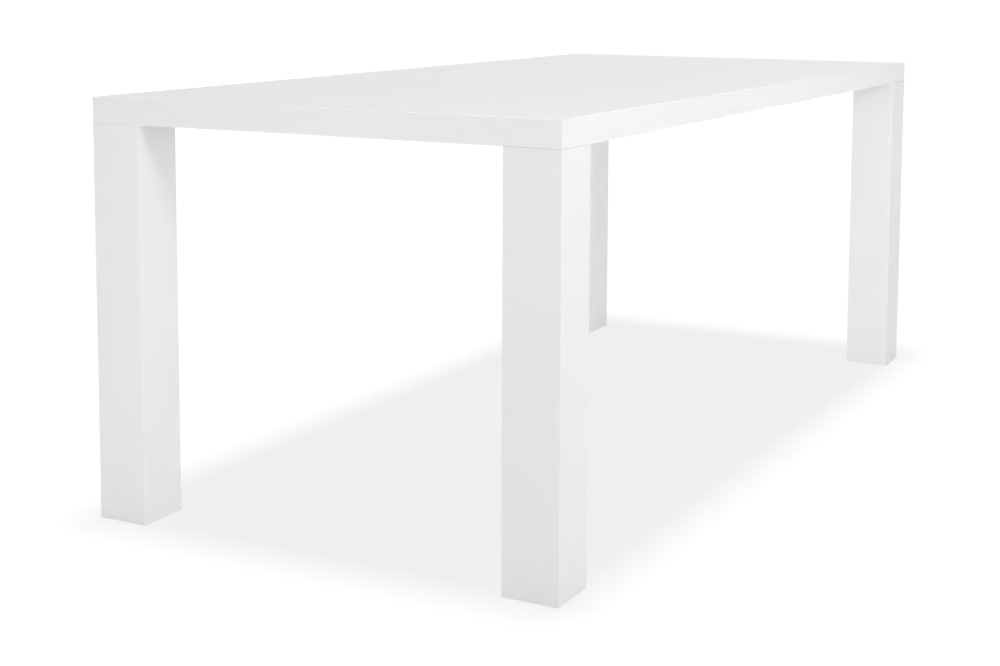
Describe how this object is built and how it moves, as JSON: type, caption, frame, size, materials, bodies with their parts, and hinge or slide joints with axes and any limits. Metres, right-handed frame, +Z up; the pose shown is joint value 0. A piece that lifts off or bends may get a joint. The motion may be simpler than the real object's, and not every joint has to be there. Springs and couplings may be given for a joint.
{
  "type": "parsons dining table",
  "caption": "Rectangular dining table with a plain gloss white slab top and square block legs whose outer faces run flush with its edges.",
  "frame": {"origin": "on the floor, under the middle of the top", "axes": "+X along the length, +Y across the width, away from the front long side, +Z up"},
  "size_m": [1.94, 0.905, 0.75],
  "materials": {
    "slab_lacquer": "MDF under high gloss white lacquer",
    "leg_lacquer": "MDF under high gloss white lacquer",
    "raw_mdf": "raw MDF",
    "pine": "planed, unfinished",
    "beech": "grooved dowel, unfinished",
    "honeycomb_paper": "expanded kraft paper honeycomb",
    "plate_zinc": "zinc plated",
    "bolt_zinc": "bright zinc plated",
    "insert_steel": "yellow zinc plated",
    "screw_steel": "yellow zinc plated",
    "glide_nylon": "moulded nylon"
  },
  "bodies": {
    "root": {"corner_block_back_left": "pine", "corner_block_back_right": "pine", "corner_block_front_left": "pine", "corner_block_front_right": "pine", "corner_plate_back_left": "plate_zinc", "corner_plate_back_right": "plate_zinc", "corner_plate_front_left": "plate_zinc", "corner_plate_front_right": "plate_zinc", "cross_rib_1": "raw_mdf", "cross_rib_2": "raw_mdf", "cross_rib_3": "raw_mdf", "edge_rail_back": "slab_lacquer", "edge_rail_front": "slab_lacquer", "edge_rail_left": "slab_lacquer", "edge_rail_right": "slab_lacquer", "frame_dowels": "beech", "glide_screws": "screw_steel", "honeycomb_bay_1": "honeycomb_paper", "honeycomb_bay_2": "honeycomb_paper", "honeycomb_bay_3": "honeycomb_paper", "honeycomb_bay_4": "honeycomb_paper", "honeycomb_end_left": "honeycomb_paper", "honeycomb_end_right": "honeycomb_paper", "leg_back_left_board_back": "leg_lacquer", "leg_back_left_board_front": "leg_lacquer", "leg_back_left_board_left": "leg_lacquer", "leg_back_left_board_right": "leg_lacquer", "leg_back_left_foot_block": "pine", "leg_back_left_glide": "glide_nylon", "leg_back_left_head_block": "pine", "leg_back_right_board_back": "leg_lacquer", "leg_back_right_board_front": "leg_lacquer", "leg_back_right_board_left": "leg_lacquer", "leg_back_right_board_right": "leg_lacquer", "leg_back_right_foot_block": "pine", "leg_back_right_glide": "glide_nylon", "leg_back_right_head_block": "pine", "leg_front_left_board_back": "leg_lacquer", "leg_front_left_board_front": "leg_lacquer", "leg_front_left_board_left": "leg_lacquer", "leg_front_left_board_right": "leg_lacquer", "leg_front_left_foot_block": "pine", "leg_front_left_glide": "glide_nylon", "leg_front_left_head_block": "pine", "leg_front_right_board_back": "leg_lacquer", "leg_front_right_board_front": "leg_lacquer", "leg_front_right_board_left": "leg_lacquer", "leg_front_right_board_right": "leg_lacquer", "leg_front_right_foot_block": "pine", "leg_front_right_glide": "glide_nylon", "leg_front_right_head_block": "pine", "leg_head_screws": "screw_steel", "plate_bolts": "bolt_zinc", "plate_washers": "bolt_zinc", "threaded_inserts": "insert_steel", "top_skin_lower": "slab_lacquer", "top_skin_upper": "slab_lacquer"}
  },
  "joints": []
}
